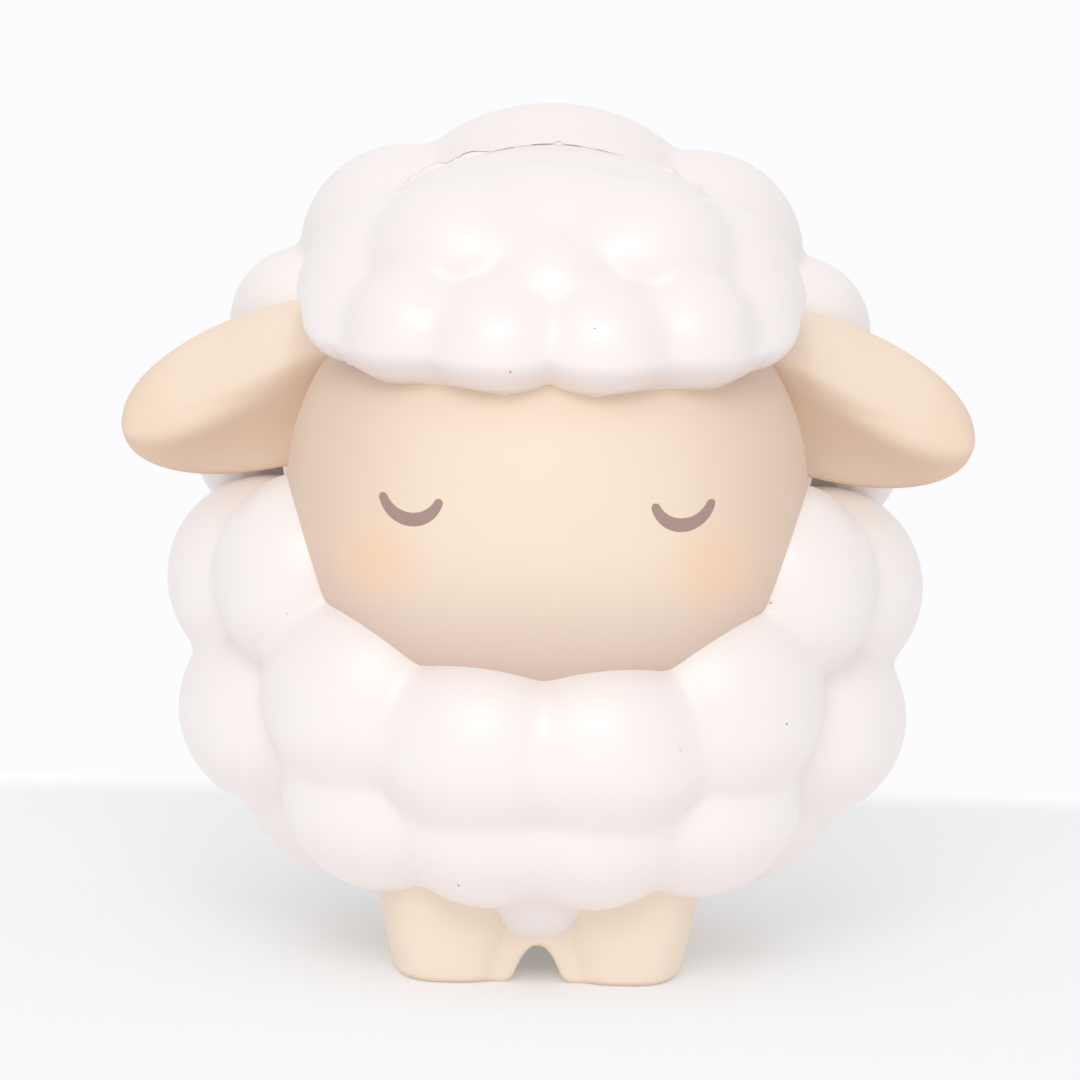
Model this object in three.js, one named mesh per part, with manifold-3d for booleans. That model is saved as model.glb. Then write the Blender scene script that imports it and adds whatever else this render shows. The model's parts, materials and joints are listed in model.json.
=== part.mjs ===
// A slow-rising foam sheep: a wool ball of a body on two stub legs, with a big cream head sunk
// into its front, a wool fringe, two drooping ears and a puff of a tail.
// It is cast in a mould of two halves that part on an upright plane through both ears.
// Millimetres. +Z is up, the face looks along -Y, and +X is the sheep's own left.
import * as THREE from "three";
import { mergeVertices } from "three/addons/utils/BufferGeometryUtils.js";
import Module from "manifold-3d";

const wasm = await Module();
wasm.setup();

// The cream head, an egg a little wider than it is tall, and a little fuller than an even one.
const HEAD_WIDTH = 73;
const HEAD_DEPTH = 72;
const HEAD_HEIGHT = 68;
const HEAD_SQUARENESS = 2.15;
const HEAD_FORWARD = 9;

// The foam core that the body's wool puffs sit on.
const BODY_WIDTH = 82;
const BODY_DEPTH = 74;
const BODY_HEIGHT = 78;
const BODY_CENTRE_HEIGHT = 46;
const BODY_BACK = 1;
const HEAD_OVER_BODY = 21;
const HEAD_CENTRE_HEIGHT = BODY_CENTRE_HEIGHT + HEAD_OVER_BODY;

// The parting plane of the mould, and the gap that each mass keeps to the next.
const PARTING_BACK = 1;
const GAP = 0.3;

// The wool on the head: a ball that is thicker than the head all round, higher and further back.
const HEAD_WOOL_SIDE = 2;
const HEAD_WOOL_DEEP = 6;
const HEAD_WOOL_TOP = 3.5;
const HEAD_WOOL_BACK = 6;
const HEAD_WOOL_UP = 9;

// The rim of the fringe: nearly level over the brow, then climbing from a point over each temple to
// the ears. The wool at the back of the head goes down to the nape.
const RIM_OVER_HEAD_CENTRE = 18.6;
const RIM_SLOPE = 4;
const TEMPLE_OUT = 22;
const TEMPLE_SLOPE = 33;
const TEMPLE_CLIMB = 6.9;
const NAPE_OVER_HEAD_CENTRE = 9;

// The ears: half a leaf in outline, sheared down by the droop, with a ridge and a hollow in front.
const EAR_LENGTH = 24;
const EAR_ROOT_HEIGHT = 23.6;
const EAR_ROOT_THICKNESS = 12;
const EAR_BACK_THICKNESS = 4;
const EAR_OVER_HEAD_CENTRE = 14;
const EAR_DROOP = 6.6;
const EAR_DROOP_POWER = 1.2;
const EAR_OUTLINE_POWER = 0.47;
const EAR_RIDGE_ROOT = 0.27;
const EAR_RIDGE_TIP = -0.55;
const EAR_SCOOP = 1.7;

// The legs: stubs with a rounded oblong sole, and a web between them over an arch.
const SOLE_WIDTH = 16.6;
const SOLE_DEPTH = 41;
const SOLE_ROUNDING = 1.2;
const SOLE_SQUARENESS = 3.2;
const LEG_FLARE = 3.2;
const LEG_FLARE_POWER = 0.8;
const LEG_UNDER_BODY_CENTRE = 26;
const LEG_TALL = BODY_CENTRE_HEIGHT - LEG_UNDER_BODY_CENTRE;
const LEG_FORWARD = 2.5;
const ARCH_WIDTH = 7.8;
const ARCH_HEIGHT = 5.4;
const WEB_WIDTH = 14;
const WEB_DEPTH = 37;

// The closed eyes: printed arcs, here an inlay in a shallow pocket.
const EYE_OUT = 18.2;
const EYE_ARC_CENTRE_UP = 4.6;
const EYE_ARC_RADIUS = 4;
const EYE_STROKE = 1.6;
const EYE_SWEEP = 138;
const EYE_TILT = 6;
const INK_DEPTH = 0.5;

// The tail puff.
const TAIL_SIZE = 8.5;
const TAIL_PROUD = 5.5;
const TAIL_DROP = 22;

// Facets: an icosahedron's edges are split into this many parts and one more.
const FLEECE_DETAIL = 11;
const HEAD_WOOL_DETAIL = 11;
const BALL_DETAIL = 4;
const ROOT_DETAIL = 2;
const EAR_RINGS = 7;
const EAR_SIDES = 16;
const LEG_SIDES = 18;
const ROUNDING_STEPS = 2;
const FLARE_STEPS = 2;
const ARC_STEPS = 5;

// A block far larger than the figure, for cutting with its faces.
const BLOCK = 400;

const HEAD = {
  centre: [0, -HEAD_FORWARD, HEAD_CENTRE_HEIGHT],
  radii: [HEAD_WIDTH / 2, HEAD_DEPTH / 2, HEAD_HEIGHT / 2],
};
const HEAD_WOOL = {
  centre: [0, HEAD_WOOL_BACK - HEAD_FORWARD, HEAD_CENTRE_HEIGHT + HEAD_WOOL_UP],
  radii: [
    HEAD_WIDTH / 2 + HEAD_WOOL_SIDE,
    HEAD_DEPTH / 2 + HEAD_WOOL_DEEP,
    HEAD_HEIGHT / 2 + HEAD_WOOL_TOP,
  ],
};
const BODY = {
  centre: [0, BODY_BACK, BODY_CENTRE_HEIGHT],
  radii: [BODY_WIDTH / 2, BODY_DEPTH / 2, BODY_HEIGHT / 2],
};

// How wide the valleys between the puffs are rounded.
const VALLEY_RADIUS = 0.8;

// Each puff: degrees round from the front, degrees up and, as shares of a full puff, how far its
// crest stands off the ball and its half axes across, deep and tall. Puffs off the middle are made
// on both sides.
const PUFF_RADIUS = 15;
const BODY_PUFFS = [
  { around: 14.5, up: -17, crest: 0.75, size: [1.05, 1.12, 0.89] },
  { around: 45, up: -9, crest: 0.66, size: [1.04, 1.1, 0.97] },
  { around: 84, up: -17, crest: 0.85, size: [1.07, 1.13, 1] },
  { around: 124, up: -15, crest: 0.77, size: [1.07, 1.13, 1] },
  { around: 162, up: -18, crest: 0.7, size: [1.07, 1.13, 1] },
  { around: 15.5, up: -39, crest: 0.66, size: [0.93, 1, 0.87] },
  { around: 47, up: -34, crest: 0.66, size: [0.93, 0.97, 0.93] },
  { around: 86, up: -38, crest: 0.62, size: [0.97, 1, 0.9] },
  { around: 125, up: -38, crest: 0.65, size: [1, 1.03, 0.93] },
  { around: 160, up: -43, crest: 0.6, size: [1.03, 1.03, 0.93] },
  { around: 0, up: -63, crest: 0.34, size: [0.62, 0.85, 0.52] },
  { around: 68, up: 14, crest: 0.68, size: [0.88, 0.97, 0.9] },
  { around: 93, up: 11, crest: 0.91, size: [0.97, 0.97, 0.95] },
  { around: 127, up: 14, crest: 0.9, size: [1.07, 1.07, 1] },
  { around: 161, up: 12, crest: 0.77, size: [1.07, 1.07, 1] },
  { around: 114, up: 34, crest: 1.17, size: [0.8, 0.8, 0.83] },
  { around: 141, up: 36, crest: 1.2, size: [1, 1.03, 0.97] },
  { around: 180, up: 36, crest: 1.13, size: [1.07, 1.03, 0.97] },
];
const HEAD_PUFFS = [
  { around: 9.5, up: 24, crest: 0.39, size: [0.61, 0.64, 0.63] },
  { around: 29.5, up: 26.5, crest: 0.48, size: [0.61, 0.69, 0.61] },
  { around: 27.5, up: 43.5, crest: 0.48, size: [0.81, 0.8, 0.64] },
  { around: 0, up: 39.5, crest: 0.37, size: [0.53, 0.57, 0.53] },
  { around: 0, up: 57, crest: 0.31, size: [1.13, 0.9, 0.8] },
  { around: 0, up: 80, crest: 0.21, size: [1.67, 1.33, 0.8] },
  { around: 60, up: 34, crest: 0.42, size: [0.93, 1, 1.13] },
  { around: 46, up: 24.5, crest: 0.37, size: [0.7, 0.73, 0.63] },
  { around: 180, up: 58, crest: 0.77, size: [1.43, 1.23, 1.03] },
  { around: 128, up: 41, crest: 0.76, size: [1.01, 0.96, 1] },
  { around: 115, up: 17.5, crest: 0.85, size: [0.73, 0.75, 0.73] },
  { around: 149, up: 23, crest: 0.67, size: [0.89, 0.87, 0.89] },
  { around: 180, up: 17, crest: 0.6, size: [0.89, 0.87, 0.89] },
];

// Each ear bends on an upright line at the side of the head, in the parting plane.
const EAR_SEAT = [HEAD_WIDTH / 2, PARTING_BACK, HEAD_CENTRE_HEIGHT + EAR_OVER_HEAD_CENTRE];

const WOOL = { color: 0xf9f1ee, roughness: 0.42, metalness: 0 };
const CREAM = { color: 0xf6dcc2, roughness: 0.55, metalness: 0 };
const INK = { color: 0x8f7a76, roughness: 0.6, metalness: 0 };

const radians = (degrees) => (degrees * Math.PI) / 180;

// A closed three.js geometry as a solid that can be joined and cut.
function solidFrom(geometry) {
  const bare = geometry.clone();
  bare.deleteAttribute("normal");
  bare.deleteAttribute("uv");
  const merged = mergeVertices(bare, 1e-4);
  return new wasm.Manifold(
    new wasm.Mesh({
      numProp: 3,
      vertProperties: merged.attributes.position.array,
      triVerts: new Uint32Array(merged.index.array),
    }),
  );
}

function geometryFrom(solid) {
  const mesh = solid.getMesh();
  const geometry = new THREE.BufferGeometry();
  geometry.setAttribute("position", new THREE.BufferAttribute(mesh.vertProperties, 3));
  geometry.setIndex(new THREE.BufferAttribute(mesh.triVerts, 1));
  geometry.computeVertexNormals();
  return geometry;
}

// An egg with its three half axes along X, Y and Z, grown all round by a margin. Past a squareness
// of 2 it is fuller between its axes.
function egg(centre, radii, detail, margin = 0, squareness = 2) {
  const geometry = new THREE.IcosahedronGeometry(1, detail);
  const points = geometry.attributes.position;
  for (let i = 0; i < points.count; i++) {
    const point = [points.getX(i), points.getY(i), points.getZ(i)];
    const sum = point.reduce((total, part) => total + Math.abs(part) ** squareness, 0);
    const swell = sum ** (-1 / squareness);
    points.setXYZ(i, ...point.map((part) => part * swell));
  }
  geometry.scale(...radii.map((radius) => radius + margin));
  geometry.translate(...centre);
  return solidFrom(geometry);
}

// The half of space on the side of a point that a direction looks to.
function halfSpace(point, direction) {
  const geometry = new THREE.BoxGeometry(BLOCK, BLOCK, BLOCK);
  geometry.translate(0, 0, BLOCK / 2);
  const toDirection = new THREE.Quaternion();
  toDirection.setFromUnitVectors(
    new THREE.Vector3(0, 0, 1),
    new THREE.Vector3(...direction).normalize(),
  );
  geometry.applyQuaternion(toDirection);
  geometry.translate(...point);
  return solidFrom(geometry);
}

// How far an egg reaches from its middle in a direction.
const reachOf = (radii, direction) =>
  1 / Math.hypot(...direction.map((part, axis) => part / radii[axis]));

// An egg whose crest stands a given distance off a ball, one way out from the middle of the ball.
function eggOff(ball, around, up, crest, radii) {
  const direction = [
    Math.sin(radians(around)) * Math.cos(radians(up)),
    -Math.cos(radians(around)) * Math.cos(radians(up)),
    Math.sin(radians(up)),
  ];
  const out = reachOf(ball.radii, direction) + crest - reachOf(radii, direction);
  return { centre: direction.map((part, axis) => ball.centre[axis] + part * out), radii };
}

// The eggs that a list of puffs stands for.
function eggsOf(ball, puffs) {
  return puffs.flatMap(({ around, up, crest, size }) => {
    const sides = around % 180 === 0 ? [1] : [1, -1];
    const radii = size.map((share) => share * PUFF_RADIUS);
    return sides.map((side) => eggOff(ball, around * side, up, crest * PUFF_RADIUS, radii));
  });
}

// How far out a ray from a point leaves an egg, or 0 where it misses.
function exitFrom(start, direction, { centre, radii }, margin) {
  const axes = [0, 1, 2];
  const ray = axes.map((axis) => direction[axis] / (radii[axis] + margin));
  const back = axes.map((axis) => (start[axis] - centre[axis]) / (radii[axis] + margin));
  const a = axes.reduce((sum, axis) => sum + ray[axis] * ray[axis], 0);
  const b = axes.reduce((sum, axis) => sum + ray[axis] * back[axis], 0);
  const c = axes.reduce((sum, axis) => sum + back[axis] * back[axis], -1);
  const inside = b * b - a * c;
  return inside < 0 ? 0 : (-b + Math.sqrt(inside)) / a;
}

// The largest of some lengths, with the change from one to the next rounded off.
function softMax(lengths) {
  const largest = Math.max(...lengths);
  const sum = lengths.reduce(
    (total, length) => total + Math.exp((length - largest) / VALLEY_RADIUS),
    0,
  );
  return largest + VALLEY_RADIUS * Math.log(sum);
}

// A ball swollen into puffs: each point of a fine sphere moves out to the outermost egg there.
function woolBall(ball, puffs, detail, margin = 0) {
  const eggs = [ball, ...eggsOf(ball, puffs)];
  const geometry = new THREE.IcosahedronGeometry(1, detail);
  const points = geometry.attributes.position;
  for (let i = 0; i < points.count; i++) {
    const direction = [points.getX(i), points.getY(i), points.getZ(i)];
    const reach = softMax(eggs.map((part) => exitFrom(ball.centre, direction, part, margin)));
    points.setXYZ(i, ...direction.map((part, axis) => ball.centre[axis] + part * reach));
  }
  return solidFrom(geometry);
}

// How full an ear's front is, 1 on its ridge: round above the ridge and scooped out below it.
function earFront(height, ridge) {
  const above = Math.max(0, (height - ridge) / (1 - ridge));
  const below = Math.max(0, (ridge - height) / (1 + ridge));
  return Math.sqrt(Math.max(0, 1 - above ** 2)) * Math.max(0, 1 - below) ** EAR_SCOOP;
}

// One ear's surface at a share of its length and an angle round its section, in millimetres.
// The front half has the ridge, which runs down towards the tip; the back half is flat.
function earPoint(share, angle, margin) {
  const outline = (1 - share * share) ** EAR_OUTLINE_POWER;
  const height = Math.sin(angle);
  const inFront = Math.cos(angle) < 0;
  const ridge = EAR_RIDGE_ROOT + (EAR_RIDGE_TIP - EAR_RIDGE_ROOT) * share;
  const front = (-earFront(height, ridge) * EAR_ROOT_THICKNESS) / 2;
  const back = Math.cos(angle) * EAR_BACK_THICKNESS;
  const depth = (inFront ? front : back) + Math.cos(angle) * margin;
  const droop = EAR_DROOP * share ** EAR_DROOP_POWER;
  return [
    share * (EAR_LENGTH + margin),
    depth * Math.sqrt(outline),
    height * outline * (EAR_ROOT_HEIGHT / 2 + margin) - droop,
  ];
}

// A closed solid through a row of sections, each a ring of points, with a point at either end.
function loft(sections, start, end) {
  const sides = sections[0].length;
  const positions = [...sections.flat(), start, end].flat();
  const first = sections.length * sides;
  const faces = [];
  for (let side = 0; side < sides; side++) {
    const next = (side + 1) % sides;
    const last = (sections.length - 1) * sides;
    faces.push(first, next, side);
    faces.push(first + 1, last + side, last + next);
    for (let ring = 0; ring < last; ring += sides) {
      faces.push(ring + side, ring + next, ring + sides + next);
      faces.push(ring + side, ring + sides + next, ring + sides + side);
    }
  }
  const geometry = new THREE.BufferGeometry();
  geometry.setAttribute("position", new THREE.Float32BufferAttribute(positions, 3));
  geometry.setIndex(faces);
  return solidFrom(geometry);
}

// The ear's leaf, lofted from its flat root to a closed tip.
function makeEarLeaf(margin) {
  const sections = [];
  for (let ring = 0; ring < EAR_RINGS; ring++) {
    const share = Math.sin((ring / EAR_RINGS) * (Math.PI / 2));
    const section = [];
    for (let side = 0; side < EAR_SIDES; side++) {
      section.push(earPoint(share, (side / EAR_SIDES) * 2 * Math.PI, margin));
    }
    sections.push(section);
  }
  return loft(sections, [0, 0, 0], [EAR_LENGTH + margin, 0, -EAR_DROOP]);
}

// The round root that an ear turns on, a spindle about the upright line it bends at.
function earRoot(margin) {
  const radii = [EAR_ROOT_THICKNESS / 2, EAR_ROOT_THICKNESS / 2, EAR_ROOT_HEIGHT / 2];
  return egg(EAR_SEAT, radii, ROOT_DETAIL, margin);
}

function makeEar(margin = 0) {
  return makeEarLeaf(margin).translate(EAR_SEAT).add(earRoot(margin));
}

// A stub on an oblong sole: it has a rounded edge below and flares out towards its top.
function makeStub(middle, width, depth) {
  const rings = [];
  for (let step = 0; step <= ROUNDING_STEPS; step++) {
    const turn = (step / ROUNDING_STEPS) * (Math.PI / 2);
    rings.push({
      height: SOLE_ROUNDING * (1 - Math.cos(turn)),
      inset: SOLE_ROUNDING * (1 - Math.sin(turn)),
    });
  }
  for (let step = 1; step <= FLARE_STEPS; step++) {
    const rise = step / FLARE_STEPS;
    rings.push({
      height: SOLE_ROUNDING + (LEG_TALL - SOLE_ROUNDING) * rise,
      inset: -LEG_FLARE * rise ** LEG_FLARE_POWER,
    });
  }
  const curve = (part) => Math.sign(part) * Math.abs(part) ** (2 / SOLE_SQUARENESS);
  const sections = rings.map(({ height, inset }) => {
    const section = [];
    for (let side = 0; side < LEG_SIDES; side++) {
      const angle = (side / LEG_SIDES) * 2 * Math.PI;
      section.push([
        middle + (width / 2 - inset) * curve(Math.cos(angle)),
        -LEG_FORWARD + (depth / 2 - inset) * curve(Math.sin(angle)),
        height,
      ]);
    }
    return section;
  });
  return loft(sections, [middle, -LEG_FORWARD, 0], [middle, -LEG_FORWARD, LEG_TALL]);
}

// One leg with its half of the web, over its half of the arch, up to the wool above it.
function makeLeg(fleeceSpace) {
  const stub = makeStub((ARCH_WIDTH + SOLE_WIDTH) / 2, SOLE_WIDTH, SOLE_DEPTH);
  const web = makeStub(0, WEB_WIDTH, WEB_DEPTH);
  const arch = new THREE.CylinderGeometry(1, 1, SOLE_DEPTH * 2, LEG_SIDES);
  arch.scale(ARCH_WIDTH / 2, 1, ARCH_HEIGHT);
  return stub
    .add(web.subtract(solidFrom(arch)))
    .intersect(halfSpace([GAP / 2, 0, 0], [1, 0, 0]))
    .subtract(fleeceSpace);
}

// The crescent of one closed eye as an upright prism through the head's front.
function eyePrism(margin = 0) {
  const half = radians(EYE_SWEEP / 2);
  const down = -Math.PI / 2;
  const stroke = EYE_STROKE / 2 + margin;
  const crescent = new THREE.Shape();
  const endAt = (angle) => [
    EYE_ARC_RADIUS * Math.cos(angle),
    EYE_ARC_RADIUS * Math.sin(angle),
  ];
  crescent.absarc(0, 0, EYE_ARC_RADIUS + stroke, down - half, down + half, false);
  crescent.absarc(...endAt(down + half), stroke, down + half, down + half + Math.PI, false);
  crescent.absarc(0, 0, EYE_ARC_RADIUS - stroke, down + half, down - half, true);
  crescent.absarc(...endAt(down - half), stroke, down - half + Math.PI, down - half, false);
  const prism = new THREE.ExtrudeGeometry(crescent, {
    depth: HEAD_DEPTH,
    bevelEnabled: false,
    curveSegments: ARC_STEPS,
  });
  prism.rotateZ(radians(EYE_TILT));
  prism.rotateX(Math.PI / 2);
  prism.translate(EYE_OUT, -HEAD_FORWARD, HEAD_CENTRE_HEIGHT + EYE_ARC_CENTRE_UP);
  return solidFrom(prism);
}

const mirrored = (solid) => solid.mirror([1, 0, 0]);
const bothSides = (solid) => solid.add(mirrored(solid));

// The head ball grown by a margin, or shrunk by a negative one.
const headBall = (margin = 0) =>
  egg(HEAD.centre, HEAD.radii, BALL_DETAIL, margin, HEAD_SQUARENESS);

// The cream head, with its pockets for the ears' roots and the printed eyes.
function makeHead(earSpace) {
  const pockets = bothSides(eyePrism(GAP)).subtract(headBall(-INK_DEPTH - GAP));
  return headBall().subtract(pockets).subtract(earSpace);
}

const makeEye = () => eyePrism().intersect(headBall()).subtract(headBall(-INK_DEPTH));

// The half of the head's wool in front of the parting plane, down to its rim.
function makeFringe(headWool) {
  const rim = [0, -HEAD_FORWARD - HEAD_DEPTH / 2, HEAD_CENTRE_HEIGHT + RIM_OVER_HEAD_CENTRE];
  const temple = [TEMPLE_OUT, 0, rim[2]];
  const slope = radians(RIM_SLOPE);
  const climb = radians(TEMPLE_SLOPE);
  const underTemple = halfSpace(temple, [Math.sin(climb), 0, -Math.cos(climb)]).intersect(
    halfSpace([0, 0, rim[2] + TEMPLE_CLIMB], [0, 0, -1]),
  );
  return headWool
    .intersect(halfSpace(rim, [0, -Math.sin(slope), Math.cos(slope)]))
    .intersect(halfSpace([0, PARTING_BACK - GAP / 2, 0], [0, -1, 0]))
    .subtract(bothSides(underTemple));
}

// The half behind it, down to where the body's wool takes over.
function makeCrown(headWool, fleeceSpace) {
  return headWool
    .intersect(halfSpace([0, 0, HEAD_CENTRE_HEIGHT + NAPE_OVER_HEAD_CENTRE], [0, 0, 1]))
    .intersect(halfSpace([0, PARTING_BACK + GAP / 2, 0], [0, 1, 0]))
    .subtract(fleeceSpace);
}

// The wool ball of the body, grown by a margin.
const bodyWool = (margin = 0) => woolBall(BODY, BODY_PUFFS, FLEECE_DETAIL, margin);

// One round puff for a tail, seated on the wool behind.
function makeTail(fleeceSpace) {
  const radii = [TAIL_SIZE, TAIL_SIZE, TAIL_SIZE];
  const { centre } = eggOff(BODY, 180, -TAIL_DROP, TAIL_PROUD + TAIL_SIZE, radii);
  return egg(centre, radii, ROOT_DETAIL).subtract(fleeceSpace);
}

const earSpace = bothSides(makeEar(GAP));
const headSpace = headBall(GAP);
const fleeceSpace = bodyWool(GAP);
const headWool = woolBall(HEAD_WOOL, HEAD_PUFFS, HEAD_WOOL_DETAIL)
  .subtract(headSpace)
  .subtract(earSpace);

const sheep = new THREE.Group();

function place(name, solid, finish) {
  const mesh = new THREE.Mesh(geometryFrom(solid), new THREE.MeshStandardMaterial(finish));
  mesh.name = name;
  sheep.add(mesh);
}

// A piece that the sheep has on both sides, made as its left one.
function placePair(name, solid, finish) {
  place(`${name}_left`, solid, finish);
  place(`${name}_right`, mirrored(solid), finish);
}

place("body_fleece", bodyWool().subtract(headSpace).subtract(earSpace), WOOL);
place("head", makeHead(earSpace), CREAM);
place("fringe", makeFringe(headWool), WOOL);
place("crown", makeCrown(headWool, fleeceSpace), WOOL);
place("tail", makeTail(fleeceSpace), WOOL);
placePair("ear", makeEar(), CREAM);
placePair("leg", makeLeg(fleeceSpace), CREAM);
placePair("eye", makeEye(), INK);

// The origin is on the floor, under the middle of the whole figure.
const extent = new THREE.Box3().setFromObject(sheep);
sheep.position.y = -(extent.min.y + extent.max.y) / 2;

export default sheep;
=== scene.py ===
"""A slow-rising foam sheep in its pearly and matt paint, on a pale table in soft frontal light.

The wool is a ball swollen into puffs, the head an egg sunk in it, the ears two folded leaves.
Lengths in the tables are millimetres; meshes are made in metres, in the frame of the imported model.
"""
import json
import math

import bmesh
import bpy
from mathutils import Matrix, Vector, noise
from mathutils.bvhtree import BVHTree


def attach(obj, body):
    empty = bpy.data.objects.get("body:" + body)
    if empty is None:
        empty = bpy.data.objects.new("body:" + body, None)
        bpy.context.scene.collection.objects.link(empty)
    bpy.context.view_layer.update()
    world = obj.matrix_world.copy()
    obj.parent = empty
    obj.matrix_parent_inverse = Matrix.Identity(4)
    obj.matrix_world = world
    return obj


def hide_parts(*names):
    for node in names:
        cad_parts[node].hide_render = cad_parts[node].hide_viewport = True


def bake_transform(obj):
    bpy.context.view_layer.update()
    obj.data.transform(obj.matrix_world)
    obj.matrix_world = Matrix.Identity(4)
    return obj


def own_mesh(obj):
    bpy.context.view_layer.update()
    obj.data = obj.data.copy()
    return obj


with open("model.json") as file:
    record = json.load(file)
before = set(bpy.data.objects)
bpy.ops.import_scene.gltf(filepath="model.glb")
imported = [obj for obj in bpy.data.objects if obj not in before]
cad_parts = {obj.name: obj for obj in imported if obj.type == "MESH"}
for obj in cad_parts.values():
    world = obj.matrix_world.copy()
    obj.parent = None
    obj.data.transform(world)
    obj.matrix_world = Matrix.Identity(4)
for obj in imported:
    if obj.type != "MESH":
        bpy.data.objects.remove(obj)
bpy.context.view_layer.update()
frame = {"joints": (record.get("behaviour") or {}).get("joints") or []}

MM = 0.001

# What the imported model says: the ears' hinges, which lie on the mould's parting plane.
JOINTS = {joint["name"]: joint for joint in frame["joints"]}
EAR_SEAT = Vector(JOINTS["ear_flex_left"]["pos_m"]) / MM
PARTING_Y = EAR_SEAT.y

# The egg of the head and the two balls that the wool swells from: middles and half axes.
HEAD_MIDDLE = Vector((0, PARTING_Y - 10, 67))
HEAD_RADII = Vector((36.5, 36, 34))
HEAD_SQUARENESS = 2.15
HEAD_WOOL_MIDDLE = Vector((0, PARTING_Y - 4, 76))
HEAD_WOOL_RADII = Vector((38.5, 42, 37.5))
BODY_MIDDLE = Vector((0, PARTING_Y, 46))
BODY_RADII = Vector((41, 37, 39))

# Each puff: degrees round from the front, degrees up, and, as shares of a full puff, how far its crest
# stands off the ball and its half axes across, deep and tall. Those off the middle are on both sides.
PUFF = 15
BODY_PUFFS = (
    (15, -17.5, 0.73, (1.08, 1.12, 0.96)),
    (46.5, -9.2, 0.64, (1.05, 1.1, 1.06)),
    (84, -17, 0.85, (1.07, 1.13, 1)),
    (124, -15, 0.77, (1.07, 1.13, 1)),
    (162, -18, 0.7, (1.07, 1.13, 1)),
    (15.5, -39, 0.66, (0.93, 1, 0.87)),
    (47.5, -34, 0.68, (1.02, 0.99, 0.96)),
    (86, -38, 0.62, (0.97, 1, 0.9)),
    (125, -38, 0.65, (1, 1.03, 0.93)),
    (160, -43, 0.6, (1.03, 1.03, 0.93)),
    (0, -55, 0.41, (0.64, 0.467, 0.76)),
    (68, 15, 0.68, (0.88, 0.97, 0.97)),
    (92, 10, 0.91, (0.97, 0.97, 0.97)),
    (127, 14, 0.9, (1.07, 1.07, 1)),
    (161, 12, 0.77, (1.07, 1.07, 1)),
    (111, 30.5, 1.41, (0.8, 0.8, 0.83)),
    (141, 36, 1.2, (1, 1.03, 0.97)),
    (180, 36, 1.13, (1.07, 1.03, 0.97)),
)
HEAD_PUFFS = (
    (11.5, 24, 0.4, (0.7, 0.68, 0.64)),
    (33, 26, 0.46, (0.66, 0.71, 0.64)),
    (29, 48, 0.49, (0.95, 0.88, 0.75)),
    (0, 38, 0.33, (0.6, 0.55, 0.5)),
    (0, 60, 0.31, (1.05, 0.85, 0.72)),
    (0, 87, 0.1, (1.67, 1.6, 0.8)),
    (60, 34, 0.42, (0.93, 1, 1.13)),
    (50, 25, 0.36, (0.7, 0.73, 0.64)),
    (180, 58, 0.77, (1.43, 1.23, 1.03)),
    (128, 41, 0.76, (1.01, 0.96, 1)),
    (115, 17.5, 0.85, (0.73, 0.75, 0.73)),
    (149, 23, 0.67, (0.89, 0.87, 0.89)),
    (180, 17, 0.6, (0.89, 0.87, 0.89)),
)
WOOL_VALLEY = 1.0
WOOL_ROWS = 112

# The rim of the fringe: level in front, then rising over the temples between two turns from the front,
# in degrees. Its roll gets tighter between two other turns, and below the roll the wool is gathered in
# towards the head. Its scallops are one lobe wide, and uneven.
RIM_FRONT = 85.4
RIM_SIDE = 92.4
RIM_TURNS = (40, 70)
ROLL_TURNS = (64, 86)
RIM_ROUNDING = (5.5, 2)
RIM_UNDERCUT = 8
RIM_GATHER = 0.6
SCALLOP_WIDTH = 23
SCALLOP_DEPTH = 1.8
SCALLOP_EVENNESS = 0.55
SCALLOP_LEVEL = 0.6

# The tail: one puff at the middle of the back, so many degrees below level.
TAIL_DROP = 22
TAIL_PROUD = 5.5
TAIL_SIZE = 8.5

# The ears, from the parting plane forwards: a folded leaf, thick at its root. The pairs are values at
# the root and at the tip.
EAR_LENGTH = 24
EAR_INSIDE = 7
EAR_HEIGHT = 23.6
EAR_DEPTH = 6.6
EAR_BACK = 4
EAR_DROOP = 6.1
EAR_OUTLINE_POWER = 0.47
EAR_RIDGE = (0.27, -0.55)
EAR_RIDGE_SOFTNESS = (0.22, 0.6)
EAR_RIDGE_STEPS = 6
EAR_SCOOP = (1.9, 1.1)
EAR_LIP = (0.12, 0.35)
EAR_FULLNESS = (4, 2)
EAR_FULL_PART = 0.4
EAR_ROOT_SWELL = 3.5
EAR_RINGS = 72
EAR_SIDES = 96

# The legs: stubs that flare upward from two oblong soles, and the web over the arch between them.
SOLE_WIDTH = 17.6
SOLE_DEPTH = 41
SOLE_MIDDLE_Y = PARTING_Y - 3.5
SOLE_ROUNDING = 0.9
SOLE_ROUNDING_STEPS = 6
SOLE_SQUARENESS = 3.2
LEG_FLARE = 3.2
LEG_FLARE_POWER = 0.8
LEG_TALL = 20
LEG_LEVELS = 4
LEG_SIDES = 72
ARCH_WIDTH = 6.4
ARCH_HEIGHT = 5.3
ARCH_FLARE = 0.9
ARCH_POINT = 1.4
ARCH_STEPS = 24
WEB_WIDTH = 18
WEB_DEPTH = 38
FEET_VOXEL = 0.55
FEET_SMOOTHING = 4

# The printed eyes: a stroke along an arc, thicker in its middle, as a layer of ink on the face.
EYE_OUT = 18.2
EYE_ARC_CENTRE_UP = 5.2
EYE_ARC_RADIUS = 4
EYE_STROKE = 1.85
EYE_STROKE_END = 1.2
EYE_SWEEP = 138
EYE_TILT = 1.5
EYE_RINGS = 60
EYE_SIDES = 16
INK_PROUD = 0.07
INK_SUNK = 0.1

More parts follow.
